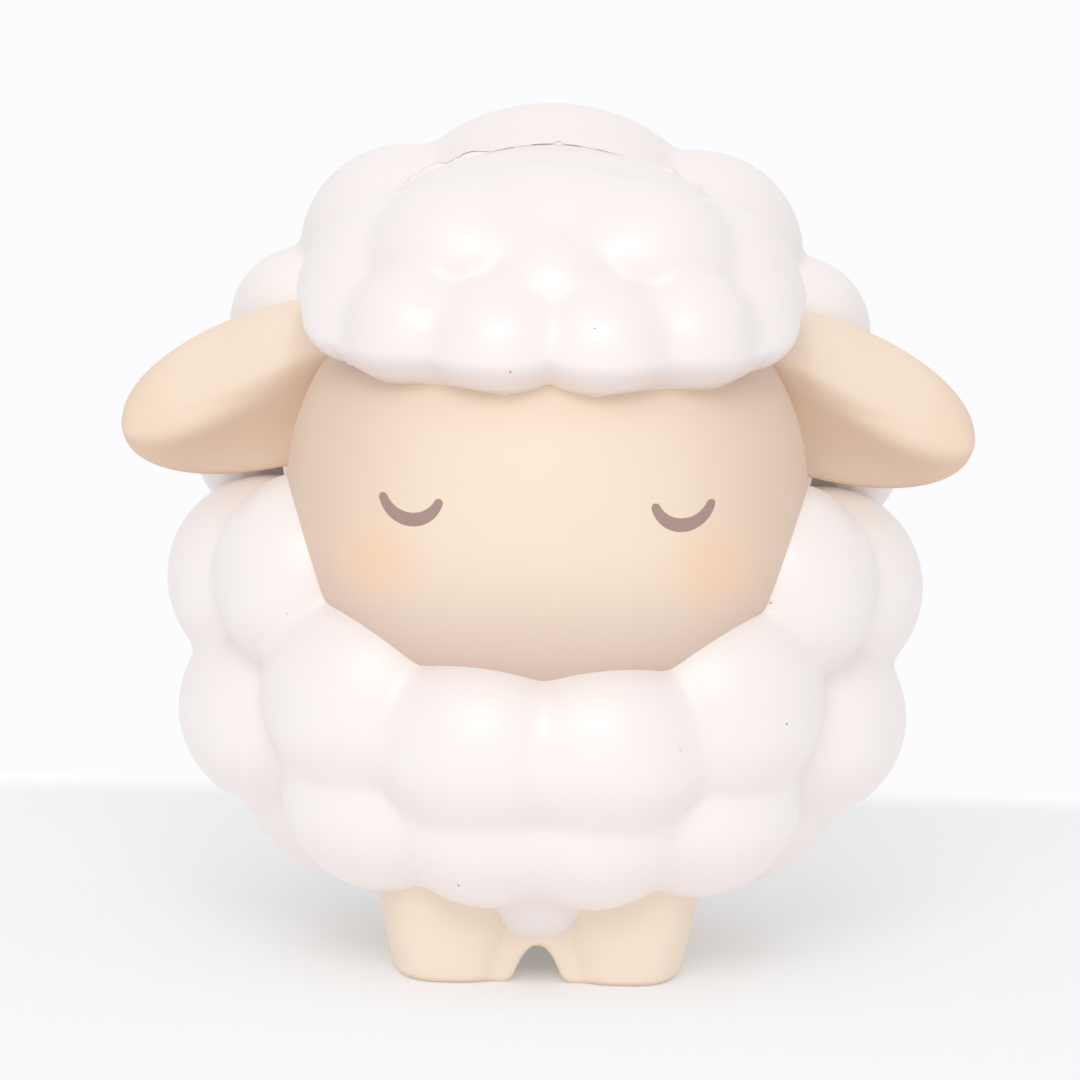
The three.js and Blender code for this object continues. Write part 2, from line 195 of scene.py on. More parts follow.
# The relief of the painted foam, and the open pores with their spacing in each paint.
SPRAY_WAVES = 0.045
SKIN_GRAIN = 0.012
PORE_DEPTH = 0.12
PORE_RADIUS = 0.2
WOOL_PORES = 6.5
CREAM_PORES = 9
FACE_PORES = 14

# The flash along the parting line over the crown: a hair of foam, with a nib where the mould was filled
# and next to none on either side of it.
FLASH_LOWEST = 97
FLASH_STEP = 0.4
FLASH_WIDTH = 0.6
FLASH_HEIGHT = 0.8
FLASH_NIB = 0.6
FLASH_CLEAR = 8
NIB_WIDTH = 0.6
NIB_HEIGHT = 0.45

# The bead on the fringe's rim: how many degrees it runs to each side, with so many steps in a degree.
# The rim's low points are found in sectors of some degrees, looking in from far outside.
BEAD_REACH = 65
BEAD_STEPS = 4
BEAD_SECTOR = 2
BEAD_FROM = 90
BEAD_LIFT = 0.2
BEAD_SIZE = 0.38

# Where the wool's tones come in, from none to all of each: painted shade below the fringe's roll, cream where
# the rim comes near the head, and the dark hair of the parting line over the crown.
ROLL_SHADE_HEIGHTS = (81, 84)
RIM_CREAM_OFF = (0.55, 0.25)
RIM_CREAM_HEIGHTS = (80, 82)
HAIR_FRONT = (-0.25, -0.1)
HAIR_BACK = (0.22, 0.1)
HAIR_HEIGHTS = (104, 108)
HAIR_MIDDLE = -3.4
HAIR_ASIDE = (14, 11)
HAIR_BREAK_SIZE = 3.2
HAIR_BREAKS = (0.45, 0.53)

# Where the cream's tones come in, and how strong some of them get: painted light on the feet near the floor
# and on the ear roots, darker ear tips, painted shade on the sides and chin of the face, painted shadow on
# its brow under the fringe, and the blush on the cheeks.
FOOT_BOUNCE_HEIGHTS = (17, 3)
FOOT_BOUNCE_LIGHT = 0.6
ROOT_LIGHT_HEIGHTS = (50, 60)
ROOT_LIGHT_ASIDE = (47, 35)
ROOT_PAINTED_LIGHT = 0.42
TIP_ASIDE = (50, 60)
TIP_TONE = 0.5
FACE_SHADE_ASIDE = (12, 35)
CHIN_SHADE_HEIGHTS = (67, 42)
BROW_SHADOW_HEIGHTS = (80, 90)
BROW_SHADOW_TONE = 0.45
CHEEK_OUT = 22.8
CHEEK_DOWN = 5
CHEEK_RADIUS = 8.5
CHEEK_TONE = 0.75

# The photograph's view, its light from above the camera, the pale room and the table.
VIEW_ELEVATION = 9
VIEW_DISTANCE = 700
VIEW_WIDTH = 153.6
VIEW_ROLL = 1.2
VIEW_AIM = Vector((-0.85, PARTING_Y - 1, 59.3))
KEY_PLACE = (-75, -840, 680)
KEY_SIZE = (640, 420)
KEY_POWER = 2.85
WORLD_LEVEL = 0.34
WORLD_ABOVE = 1.03
WORLD_SEEN = 0.985
WORLD_TINT = (1, 0.988, 0.996, 1)
WORLD_SEEN_TINT = (0.99, 0.982, 1, 1)
TABLE_REACH = 900
TABLE_END = 113
TABLE_WHITE = (0.9, 0.9, 0.9, 1)
TABLE_SEEN = (0.8, 0.8, 0.8, 1)
TABLE_GLOW = (0.17, 0.185, 0.195, 1)
TABLE_FADE = 16
TABLE_FAR = 1.6


def linear(red, green, blue):
    """A colour as the eye names it, 0 to 255 a part, as the light that shaders take."""
    shares = [value / 255 for value in (red, green, blue)]
    return [s / 12.92 if s <= 0.04045 else ((s + 0.055) / 1.055) ** 2.4 for s in shares] + [1.0]


def add_node(tree, kind, inputs=None, **settings):
    """A node with its settings, and its inputs joined or given a value."""
    node = tree.nodes.new(kind)
    for name, value in settings.items():
        setattr(node, name, value)
    for name, value in (inputs or {}).items():
        if isinstance(value, bpy.types.NodeSocket):
            tree.links.new(value, node.inputs[name])
        else:
            node.inputs[name].default_value = value
    return node


def sum_of(tree, operation, *values):
    """The result of one sum on numbers."""
    return add_node(tree, "ShaderNodeMath", dict(enumerate(values)), operation=operation).outputs[0]


def vector_of(tree, operation, *values):
    """The result of one sum on vectors: a vector, or a number where the sum gives one."""
    node = add_node(tree, "ShaderNodeVectorMath", dict(enumerate(values)), operation=operation)
    return node.outputs["Value" if operation in ("DOT_PRODUCT", "LENGTH") else "Vector"]


def scaled(tree, vector, factor):
    inputs = {0: vector, "Scale": factor}
    return add_node(tree, "ShaderNodeVectorMath", inputs, operation="SCALE").outputs["Vector"]


def parts_of(tree, vector):
    """The X, Y and Z of a vector."""
    return add_node(tree, "ShaderNodeSeparateXYZ", {0: vector}).outputs


def ramp_of(tree, value, first, last, low=0.0, high=1.0):
    """A number that runs softly from low to high while a value goes from first to last."""
    inputs = {"Value": value, "From Min": first, "From Max": last, "To Min": low, "To Max": high}
    return add_node(tree, "ShaderNodeMapRange", inputs, interpolation_type="SMOOTHSTEP").outputs["Result"]


def new_geometry_tree(name, numbers):
    """An empty geometry tree with a mesh in and out and a row of named number inputs."""
    tree = bpy.data.node_groups.new(name, "GeometryNodeTree")
    kinds = {float: "NodeSocketFloat", int: "NodeSocketInt", Vector: "NodeSocketVector"}
    tree.interface.new_socket("Geometry", in_out="INPUT", socket_type="NodeSocketGeometry")
    for label, kind in numbers.items():
        tree.interface.new_socket(label, in_out="INPUT", socket_type=kinds[kind])
    tree.interface.new_socket("Finish", in_out="INPUT", socket_type="NodeSocketMaterial")
    tree.interface.new_socket("Geometry", in_out="OUTPUT", socket_type="NodeSocketGeometry")
    return tree, tree.nodes.new("NodeGroupInput").outputs


def close_tree(tree, geometry, given):
    """Ends a geometry tree: real smooth faces in the given finish."""
    real = add_node(tree, "GeometryNodeRealizeInstances", {"Geometry": geometry})
    smooth = add_node(tree, "GeometryNodeSetShadeSmooth", {"Geometry": real.outputs[0]})
    inputs = {"Geometry": smooth.outputs[0], "Material": given["Finish"]}
    dressed = add_node(tree, "GeometryNodeSetMaterial", inputs)
    tree.links.new(dressed.outputs[0], tree.nodes.new("NodeGroupOutput").inputs[0])


def run_tree(piece, tree, values, finish):
    """Puts a geometry tree on a piece with its inputs, before the piece is first evaluated."""
    modifier = piece.modifiers.new(tree.name, "NODES")
    modifier.node_group = tree
    for socket in tree.interface.items_tree:
        if socket.in_out == "INPUT" and socket.name in values:
            modifier[socket.identifier] = values[socket.name]
        if socket.in_out == "INPUT" and socket.name == "Finish":
            modifier[socket.identifier] = finish


def settled(piece):
    """The piece with what its modifiers make as its own plain mesh."""
    bpy.context.view_layer.update()
    evaluated = piece.evaluated_get(bpy.context.evaluated_depsgraph_get())
    mesh = bpy.data.meshes.new_from_object(evaluated)
    mesh.name = piece.name
    piece.modifiers.clear()
    piece.data = mesh
    return piece


def new_piece(name, points, faces, finish=None):
    """A piece from points in millimetres."""
    mesh = bpy.data.meshes.new(name)
    mesh.from_pydata([Vector(point) * MM for point in points], [], faces)
    mesh.shade_smooth()
    if finish:
        mesh.materials.append(finish)
    piece = bpy.data.objects.new(name, mesh)
    bpy.context.scene.collection.objects.link(piece)
    return piece


def lofted(sections, start, end):
    """Points and faces of a closed skin through rings of points, with a point at either end."""
    sides = len(sections[0])
    points = [point for section in sections for point in section] + [start, end]
    first, last = len(points) - 2, len(points) - 1
    faces = []
    for ring in range(len(sections) - 1):
        for side in range(sides):
            near, far = ring * sides, (ring + 1) * sides
            after = (side + 1) % sides
            faces.append((near + side, near + after, far + after, far + side))
    for side in range(sides):
        after = (side + 1) % sides
        ending = (len(sections) - 1) * sides
        faces.append((first, after, side))
        faces.append((last, ending + side, ending + after))
    return points, faces


def direction(around, up):
    """A unit vector, from degrees round from the front and degrees up."""
    turn, lift = math.radians(around), math.radians(up)
    return Vector((math.sin(turn) * math.cos(lift), -math.cos(turn) * math.cos(lift), math.sin(lift)))


def reach_of(radii, way):
    """How far an egg reaches from its middle, in one direction."""
    return 1 / Vector([way[axis] / radii[axis] for axis in range(3)]).length


def egg_off(middle, radii, around, up, crest, size):
    """The middle of an egg of the given half axes whose crest stands so far off a ball, in one direction."""
    way = direction(around, up)
    return middle + way * (reach_of(radii, way) + crest - reach_of(size, way))


def eggs_of(middle, radii, puffs):
    """The ball itself and its puffs, each as a middle and half axes."""
    eggs = [(middle, radii)]
    for around, up, crest, size in puffs:
        for side in (1,) if around % 180 == 0 else (1, -1):
            full = Vector(size) * PUFF
            eggs.append((egg_off(middle, radii, around * side, up, crest * PUFF, full), full))
    return eggs


def exit_node(tree, ray, start, middle, radii):
    """How far out a ray leaves an egg, or 0 where it misses."""
    slope = vector_of(tree, "DIVIDE", ray, radii)
    back = vector_of(tree, "DIVIDE", vector_of(tree, "SUBTRACT", start, middle), radii)
    a = vector_of(tree, "DOT_PRODUCT", slope, slope)
    b = vector_of(tree, "DOT_PRODUCT", slope, back)
    c = sum_of(tree, "SUBTRACT", vector_of(tree, "DOT_PRODUCT", back, back), 1.0)
    inside = sum_of(tree, "SUBTRACT", sum_of(tree, "MULTIPLY", b, b), sum_of(tree, "MULTIPLY", a, c))
    root = sum_of(tree, "SQRT", sum_of(tree, "MAXIMUM", inside, 0.0))
    reach = sum_of(tree, "DIVIDE", sum_of(tree, "SUBTRACT", root, b), a)
    return sum_of(tree, "MULTIPLY", reach, sum_of(tree, "GREATER_THAN", inside, 0.0))


def soft_max_node(tree, first, second, softness):
    """The larger of two lengths, with the change from one to the other rounded off."""
    gap = sum_of(tree, "ABSOLUTE", sum_of(tree, "SUBTRACT", first, second))
    less = sum_of(tree, "MULTIPLY", sum_of(tree, "DIVIDE", gap, softness), -1.0)
    log = sum_of(tree, "LOGARITHM", sum_of(tree, "ADD", sum_of(tree, "EXPONENT", less), 1.0), math.e)
    filling = sum_of(tree, "MULTIPLY", log, softness)
    return sum_of(tree, "ADD", sum_of(tree, "MAXIMUM", first, second), filling)


def make_swell_tree():
    """Swells a ball into puffs: each point of a fine sphere goes out to the outermost egg there.

    The eggs come in as loose points with their half axes in an attribute.
    """
    numbers = {"Rows": int, "Start": Vector, "Valley": float}
    tree, given = new_geometry_tree("swell", numbers)
    rows = {f"Vertices {axis}": given["Rows"] for axis in "XYZ"}
    block = add_node(tree, "GeometryNodeMeshCube", {"Size": (2, 2, 2), **rows})
    position = tree.nodes.new("GeometryNodeInputPosition").outputs[0]
    even = vector_of(tree, "TANGENT", scaled(tree, position, math.pi / 4))
    unit = vector_of(tree, "NORMALIZE", even)
    sphere = add_node(tree, "GeometryNodeSetPosition", {"Geometry": block.outputs["Mesh"], "Position": unit})
    reach = add_node(tree, "GeometryNodeInputNamedAttribute", {"Name": "reach"}, data_type="FLOAT")
    radii = add_node(tree, "GeometryNodeInputNamedAttribute", {"Name": "radii"}, data_type="FLOAT_VECTOR")
    count = add_node(tree, "GeometryNodeAttributeDomainSize", {"Geometry": given["Geometry"]})

    begin = tree.nodes.new("GeometryNodeRepeatInput")
    end = tree.nodes.new("GeometryNodeRepeatOutput")
    begin.pair_with_output(end)
    tree.links.new(count.outputs["Point Count"], begin.inputs["Iterations"])
    tree.links.new(sphere.outputs[0], begin.inputs["Geometry"])
    found = [
        add_node(
            tree,
            "GeometryNodeSampleIndex",
            {"Geometry": given["Geometry"], "Value": value, "Index": begin.outputs["Iteration"]},
            data_type="FLOAT_VECTOR",
        ).outputs[0]
        for value in (position, radii.outputs[0])
    ]
    exit_here = exit_node(tree, position, given["Start"], *found)
    larger = soft_max_node(tree, reach.outputs[0], exit_here, given["Valley"])
    inputs = {"Geometry": begin.outputs["Geometry"], "Name": "reach", "Value": larger}
    kept = add_node(tree, "GeometryNodeStoreNamedAttribute", inputs, data_type="FLOAT", domain="POINT")
    tree.links.new(kept.outputs[0], end.inputs["Geometry"])

    place = vector_of(tree, "ADD", given["Start"], scaled(tree, position, reach.outputs[0]))
    ball = add_node(tree, "GeometryNodeSetPosition", {"Geometry": end.outputs["Geometry"], "Position": place})
    close_tree(tree, ball.outputs[0], given)
    return tree


def make_rim_tree():
    """Rolls the wool under along a scalloped rim: a quarter round, then straight in to the head."""
    numbers = {
        "Middle": Vector,
        "Front height": float,
        "Side height": float,
        "First turn": float,
        "Last turn": float,
        "First roll turn": float,
        "Last roll turn": float,
        "Scallop width": float,
        "Scallop depth": float,
        "Rounding": float,
        "Side rounding": float,
        "Undercut": float,
    }
    tree, given = new_geometry_tree("roll_rim", numbers)
    position = tree.nodes.new("GeometryNodeInputPosition").outputs[0]
    from_middle = vector_of(tree, "SUBTRACT", position, given["Middle"])
    from_axis = vector_of(tree, "MULTIPLY", from_middle, (1, 1, 0))
    flat_parts = parts_of(tree, from_axis)
    height = parts_of(tree, position)["Z"]
    around = sum_of(tree, "ARCTAN2", flat_parts["X"], sum_of(tree, "MULTIPLY", flat_parts["Y"], -1.0))
    turned = sum_of(tree, "ABSOLUTE", around)
    rise = [given[name] for name in ("First turn", "Last turn", "Front height", "Side height")]
    roll = [given[name] for name in ("First roll turn", "Last roll turn", "Rounding", "Side rounding")]
    level = ramp_of(tree, turned, *rise)
    rounding = ramp_of(tree, turned, *roll)
    wave = sum_of(tree, "DIVIDE", sum_of(tree, "MULTIPLY", around, math.pi), given["Scallop width"])
    arc = sum_of(tree, "ABSOLUTE", sum_of(tree, "SINE", wave))
    change = sum_of(tree, "MULTIPLY", sum_of(tree, "COSINE", wave), 1 - SCALLOP_EVENNESS)
    uneven = sum_of(tree, "ADD", SCALLOP_EVENNESS, change)
    depth = sum_of(tree, "MULTIPLY", given["Scallop depth"], uneven)
    scallop = sum_of(tree, "MULTIPLY", sum_of(tree, "SUBTRACT", SCALLOP_LEVEL, arc), depth)
    bottom = sum_of(tree, "ADD", level, scallop)
    top = sum_of(tree, "ADD", bottom, rounding)

    past = sum_of(tree, "MAXIMUM", sum_of(tree, "SUBTRACT", top, height), 0.0)
    turn = sum_of(tree, "DIVIDE", past, rounding)
    bend = sum_of(tree, "MINIMUM", turn, math.pi / 2)
    down = sum_of(tree, "MULTIPLY", sum_of(tree, "SINE", bend), rounding)
    short = sum_of(tree, "SUBTRACT", 1.0, sum_of(tree, "COSINE", bend))
    inward = sum_of(tree, "MULTIPLY", short, rounding)
    spare = sum_of(tree, "MULTIPLY", sum_of(tree, "SUBTRACT", turn, bend), rounding)
    share = sum_of(tree, "DIVIDE", spare, sum_of(tree, "ADD", spare, given["Undercut"]))
    width = vector_of(tree, "LENGTH", from_axis)
    some_width = sum_of(tree, "MAXIMUM", width, 1e-4)
    narrow = sum_of(tree, "DIVIDE", sum_of(tree, "SUBTRACT", width, inward), some_width)
    gather = sum_of(tree, "SUBTRACT", 1.0, sum_of(tree, "MULTIPLY", share, RIM_GATHER))
    factor = sum_of(tree, "MULTIPLY", narrow, gather)
    low = sum_of(tree, "SUBTRACT", top, down)
    is_past = sum_of(tree, "GREATER_THAN", past, 0.0)
    lifted = add_node(tree, "ShaderNodeMix", {"Factor": is_past, "A": height, "B": low}).outputs["Result"]
    flat = scaled(tree, from_axis, factor)
    level_middle = vector_of(tree, "MULTIPLY", given["Middle"], (1, 1, 0))
    up = add_node(tree, "ShaderNodeCombineXYZ", {"Z": lifted}).outputs[0]
    place = vector_of(tree, "ADD", vector_of(tree, "ADD", flat, level_middle), up)
    rolled = add_node(tree, "GeometryNodeSetPosition", {"Geometry": given["Geometry"], "Position": place})
    close_tree(tree, rolled.outputs[0], given)
    return tree


def make_wool_ball(name, middle, radii, puffs, finish, swell):
    """A wool ball as a piece with its swelling still live on it."""
    eggs = eggs_of(middle, radii, puffs)
    piece = new_piece(name, [egg[0] for egg in eggs], [])
    sizes = piece.data.attributes.new("radii", "FLOAT_VECTOR", "POINT")
    sizes.data.foreach_set("vector", [part * MM for egg in eggs for part in egg[1]])
    values = {"Rows": WOOL_ROWS, "Start": middle * MM, "Valley": WOOL_VALLEY * MM}
    run_tree(piece, swell, values, finish)
    return piece


def keep_half(piece, normal):
    """Keeps what lies on one side of the parting plane, closes the cut, and gives the cut's points."""
    cut = bmesh.new()
    cut.from_mesh(piece.data)
    geometry = cut.verts[:] + cut.edges[:] + cut.faces[:]
    seam = Vector((0, PARTING_Y, 0)) * MM
    found = bmesh.ops.bisect_plane(cut, geom=geometry, plane_co=seam, plane_no=normal, clear_inner=True)
    edges = [element for element in found["geom_cut"] if isinstance(element, bmesh.types.BMEdge)]
    bmesh.ops.holes_fill(cut, edges=edges)
    for edge in edges:
        edge.smooth = False
    points = {tuple(vertex.co / MM) for edge in edges for vertex in edge.verts}
    cut.to_mesh(piece.data)
    cut.free()
    return [Vector(point) for point in points]


def evenly(points, step):
    """Points at even steps along a run of points."""
    found, spare = [points[0]], 0.0
    for start, end in zip(points, points[1:]):
        length = (end - start).length
        while spare + step <= length:
            spare += step
            found.append(start.lerp(end, spare / length))
        spare -= length
    return found


def join_thread(piece, points, outs, rings):
    """Joins a fine thread to a piece: a closed skin through rings of (along the surface, out) pairs."""
    sections = []
    for before, point, after, out, ring in zip(points, points[1:], points[2:], outs[1:], rings[1:]):
        along = (after - before).normalized()
        across = along.cross(out).normalized()
        sections.append([point + across * a + out * b for a, b in ring])
    thread = new_piece("thread", *lofted(sections, points[0], points[-1]))
    whole = bmesh.new()
    whole.from_mesh(thread.data)
    bmesh.ops.recalc_face_normals(whole, faces=whole.faces[:])
    for face in whole.faces:
        face.material_index = 1
    whole.from_mesh(piece.data)
    whole.to_mesh(piece.data)
    whole.free()
    bpy.data.objects.remove(thread)


def round_ring(width, height, sink=0.3):
    """The section of a thread that lies on a surface, as (across, out) pairs."""
    return [
        (-width, -sink * height),
        (-0.6 * width, 0.7 * height),
        (0, height),
        (0.6 * width, 0.7 * height),
        (width, -sink * height),
        (0, -1.2 * height),
    ]


def held_in(value, least, most):
    """A value kept between two others."""
    return min(max(value, least), most)


def flash_at(point):
    """How full the flash is at a point of the parting line, 1 at its fullest."""
    ragged = held_in(0.5 + 1.3 * noise.noise(point * 0.3) + 0.6 * noise.noise(point * 1.1), 0.05, 1.0)
    return ragged * held_in((abs(point.x - FLASH_NIB) - FLASH_CLEAR) / 4, 0.04, 1.0)


def add_flash(fringe, seam):
    """Lays a ragged thread of flash along the parting line over the crown, with the nib in it."""
    middle = HEAD_WOOL_MIDDLE
    on_skin = HEAD_WOOL_RADII.x - 2
    outer = [point for point in seam if point.z > FLASH_LOWEST and (point - middle).length > on_skin]
    outer.sort(key=lambda point: math.atan2(point.x - middle.x, point.z - middle.z))
    path = evenly(outer, FLASH_STEP)
    outs, rings = [], []
    for point in path:
        outs.append(Vector((point.x - middle.x, 0, point.z - middle.z)).normalized())
        fullness = flash_at(point)
        nib = math.exp(-(((point.x - FLASH_NIB) / NIB_WIDTH) ** 2))
        width = FLASH_WIDTH * (0.6 + fullness + nib) / 2
        rings.append(round_ring(width, FLASH_HEIGHT * fullness + NIB_HEIGHT * nib))
    join_thread(fringe, path, outs, rings)


def add_rim_bead(fringe):
    """Lays the thin bead that the mould leaves where the fringe's rim ends over the face."""
    skin = bmesh.new()
    skin.from_mesh(fringe.data)
    tree = BVHTree.FromBMesh(skin)
    lows = {}
    for vertex in skin.verts:
        point = vertex.co / MM
        from_axis = point - HEAD_WOOL_MIDDLE
        sector = round(math.degrees(math.atan2(from_axis.x, -from_axis.y)) / BEAD_SECTOR)
        lows[sector] = min(point.z, lows.get(sector, math.inf))
    skin.free()
    points, outs, rings = [], [], []
    for step in range(-BEAD_REACH * BEAD_STEPS, BEAD_REACH * BEAD_STEPS + 1):
        turn = step / BEAD_STEPS
        sector = math.floor(turn / BEAD_SECTOR)
        share = turn / BEAD_SECTOR - sector
        height = lows[sector] * (1 - share) + lows[sector + 1] * share + BEAD_LIFT
        way = direction(turn, 0)
        start = Vector((0, HEAD_WOOL_MIDDLE.y, height)) + way * BEAD_FROM
        hit, facing, _, _ = tree.ray_cast(start * MM, -way)
        points.append(hit / MM)
        outs.append(facing)
        size = BEAD_SIZE * (0.8 + 0.6 * noise.noise(points[-1] * 0.35))
        rings.append(round_ring(size, size, sink=0.6))
    join_thread(fringe, points, outs, rings)


def settle(piece, body, nodes):
    """Sets a finished foam piece on its body, where it takes the place of its solids."""
    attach(piece, body)
    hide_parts(*nodes)
    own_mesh(piece)
    return piece


def make_body_wool(swell, finish):
    piece = make_wool_ball("body_wool", BODY_MIDDLE, BODY_RADII, BODY_PUFFS, finish, swell)
    settle(settled(piece), "body", ["body_fleece"])


def make_head_wool(swell, rim, finish, bare):
    ball = (HEAD_WOOL_MIDDLE, HEAD_WOOL_RADII, HEAD_PUFFS, finish, swell)
    fringe = make_wool_ball("fringe_wool", *ball)
    values = {
        "Middle": HEAD_WOOL_MIDDLE * MM,
        "Front height": RIM_FRONT * MM,
        "Side height": RIM_SIDE * MM,
        "First turn": math.radians(RIM_TURNS[0]),
        "Last turn": math.radians(RIM_TURNS[1]),
        "First roll turn": math.radians(ROLL_TURNS[0]),
        "Last roll turn": math.radians(ROLL_TURNS[1]),
        "Scallop width": math.radians(SCALLOP_WIDTH),
        "Scallop depth": SCALLOP_DEPTH * MM,
        "Rounding": RIM_ROUNDING[0] * MM,
        "Side rounding": RIM_ROUNDING[1] * MM,
        "Undercut": RIM_UNDERCUT * MM,
    }
    run_tree(fringe, rim, values, finish)
    seam = keep_half(settled(fringe), (0, -1, 0))
    fringe.data.materials.append(bare)
    add_rim_bead(fringe)
    add_flash(fringe, seam)
    settle(fringe, "head", ["fringe"])
    crown = settled(make_wool_ball("crown_wool", *ball))
    keep_half(crown, (0, 1, 0))
    settle(crown, "head", ["crown"])


def egg_piece(name, middle, radii, rows, finish, squareness=2):
    """A smooth egg of even faces; past a squareness of 2 it is fuller between its axes."""
    ball = bmesh.new()
    bmesh.ops.create_cube(ball, size=2)
    bmesh.ops.subdivide_edges(ball, edges=ball.edges[:], cuts=rows, use_grid_fill=True)
    skin = []
    for vertex in ball.verts:
        point = Vector([math.tan(part * math.pi / 4) for part in vertex.co]).normalized()
        swell = sum(abs(part) ** squareness for part in point) ** (-1 / squareness)
        skin.append(middle + Vector([part * radius * swell for part, radius in zip(point, radii)]))
    faces = [[vertex.index for vertex in face.verts] for face in ball.faces]
    ball.free()
    return new_piece(name, skin, faces, finish)


def make_head(finish):
    head = egg_piece("head_ball", HEAD_MIDDLE, HEAD_RADII, 71, finish, HEAD_SQUARENESS)
    settle(head, "head", ["head"])


def make_tail(finish):
    size = [TAIL_SIZE] * 3
    middle = egg_off(BODY_MIDDLE, BODY_RADII, 180, -TAIL_DROP, TAIL_PROUD + TAIL_SIZE, size)
    tail = egg_piece("tail_puff", middle, size, 31, finish)
    settle(tail, "body", ["tail"])


def ear_front(height, ridge, fullness, scoop):
    """How full an ear's front is, 1 at its ridge: round above the ridge and scooped below it."""
    above = min(max(0.0, (height - ridge) / (1 - ridge)), 1.0)
    below = min(max(0.0, (ridge - height) / (1 + ridge)), 1.0)
    return (1 - above**fullness) ** (1 / fullness) * (1 - below) ** scoop


def along_ear(ends, share):
    """A value that changes evenly from an ear's root to its tip."""
    return ends[0] + (ends[1] - ends[0]) * share


def ear_point(share, angle, side):
    """One point of an ear's skin: share 0 is its root at the side of the head, 1 its tip."""
    outer = max(0.0, share)
    outline = (1 - outer * outer) ** EAR_OUTLINE_POWER
    height = math.sin(angle)
    ridge = along_ear(EAR_RIDGE, share)
    blur = along_ear(EAR_RIDGE_SOFTNESS, outer) * (1 - abs(height))
    scoop = along_ear(EAR_SCOOP, outer)
    lip = along_ear(EAR_LIP, outer)
    fullness = along_ear(EAR_FULLNESS, min(outer / EAR_FULL_PART, 1.0))
    steps = range(-EAR_RIDGE_STEPS, EAR_RIDGE_STEPS + 1)
    near = [height + blur * step / EAR_RIDGE_STEPS for step in steps]
    front = sum(ear_front(level, ridge, fullness, scoop) for level in near) / len(near)
    front = (1 - lip) * front - lip * math.cos(angle)
    thin = math.sqrt(outline)
    swell = EAR_DEPTH + EAR_ROOT_SWELL * (1 - outer) ** 3
    depth = -swell * front if math.cos(angle) < 0 else EAR_BACK * math.cos(angle)
    return (
        side * (EAR_SEAT.x + share * EAR_LENGTH),
        PARTING_Y + depth * thin,
        EAR_SEAT.z + height * outline * EAR_HEIGHT / 2 - EAR_DROOP * outer,
    )


def make_ear(side, word, finish):
    """One ear, from inside the head to its tip."""
    inside = EAR_INSIDE / EAR_LENGTH
    turns = [2 * math.pi * step / EAR_SIDES for step in range(EAR_SIDES)]
    sections = []
    for ring in range(EAR_RINGS):
        share = math.sin(ring / EAR_RINGS * math.pi / 2) * (1 + inside) - inside
        sections.append([ear_point(share, turn, side) for turn in turns[::side]])
    root = Vector((side * (EAR_SEAT.x - EAR_INSIDE), PARTING_Y, EAR_SEAT.z))
    tip = Vector((side * (EAR_SEAT.x + EAR_LENGTH), PARTING_Y, EAR_SEAT.z - EAR_DROOP))
    ear = new_piece(f"ear_leaf_{word}", *lofted(sections, root, tip), finish)
    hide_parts(f"ear_{word}")
    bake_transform(ear)


def stub_levels():
    """The heights of a leg's rings, each with how far it lies inside the sole's outline."""
    turns = [math.pi / 2 * step / SOLE_ROUNDING_STEPS for step in range(SOLE_ROUNDING_STEPS + 1)]
    levels = [(SOLE_ROUNDING * (1 - math.cos(turn)), SOLE_ROUNDING * (1 - math.sin(turn))) for turn in turns]
    for step in range(LEG_LEVELS):
        rise = (step + 1) / LEG_LEVELS
        height = SOLE_ROUNDING + (LEG_TALL - SOLE_ROUNDING) * rise
        levels.append((height, -LEG_FLARE * rise**LEG_FLARE_POWER))
    return levels


def stub_rings(middle):
    """The rings of one leg: a stub on an oblong sole, with a rounded edge below."""
    rings = []
    for height, inset in stub_levels():
        ring = []
        for step in range(LEG_SIDES):
            turn = 2 * math.pi * step / LEG_SIDES
            circle = (math.cos(turn), math.sin(turn))
            across, along = [math.copysign(abs(part) ** (2 / SOLE_SQUARENESS), part) for part in circle]
            x = middle + (SOLE_WIDTH / 2 - inset) * across
            y = SOLE_MIDDLE_Y + (SOLE_DEPTH / 2 - inset) * along
            ring.append((x, y, height))
        rings.append(ring)
    return rings


def arch_web():
    """Points and faces of the web between the legs: a block over an arch, closed front and back."""
    arch = []
    for step in range(ARCH_STEPS + 1):
        turn = math.pi * step / ARCH_STEPS
        reach = ARCH_WIDTH / 2 + ARCH_FLARE * (1 - math.sin(turn)) ** 3
        arch.append((reach * math.cos(turn), ARCH_HEIGHT * max(math.sin(turn), 0) ** ARCH_POINT))
    sill = [(WEB_WIDTH / 2, 0), *arch, (-WEB_WIDTH / 2, 0)]
    lintel = [(x, LEG_TALL) for x, _ in sill]
    points = []
    for y in (SOLE_MIDDLE_Y - WEB_DEPTH / 2, SOLE_MIDDLE_Y + WEB_DEPTH / 2):
        points += [(x, y, z) for x, z in sill] + [(x, y, z) for x, z in lintel]
    count = len(sill)
    faces = []
    for step in range(count - 1):
        front = (step, step + 1, count + step + 1, count + step)
        back = tuple(2 * count + index for index in front[::-1])
        under = (step + 1, step, 2 * count + step, 2 * count + step + 1)
        over = (count + step, count + step + 1, 3 * count + step + 1, 3 * count + step)
        faces += [front, back, under, over]
    ends = (0, count, 3 * count, 2 * count)
    faces += [ends, tuple(index + count - 1 for index in ends[::-1])]
    return points, faces


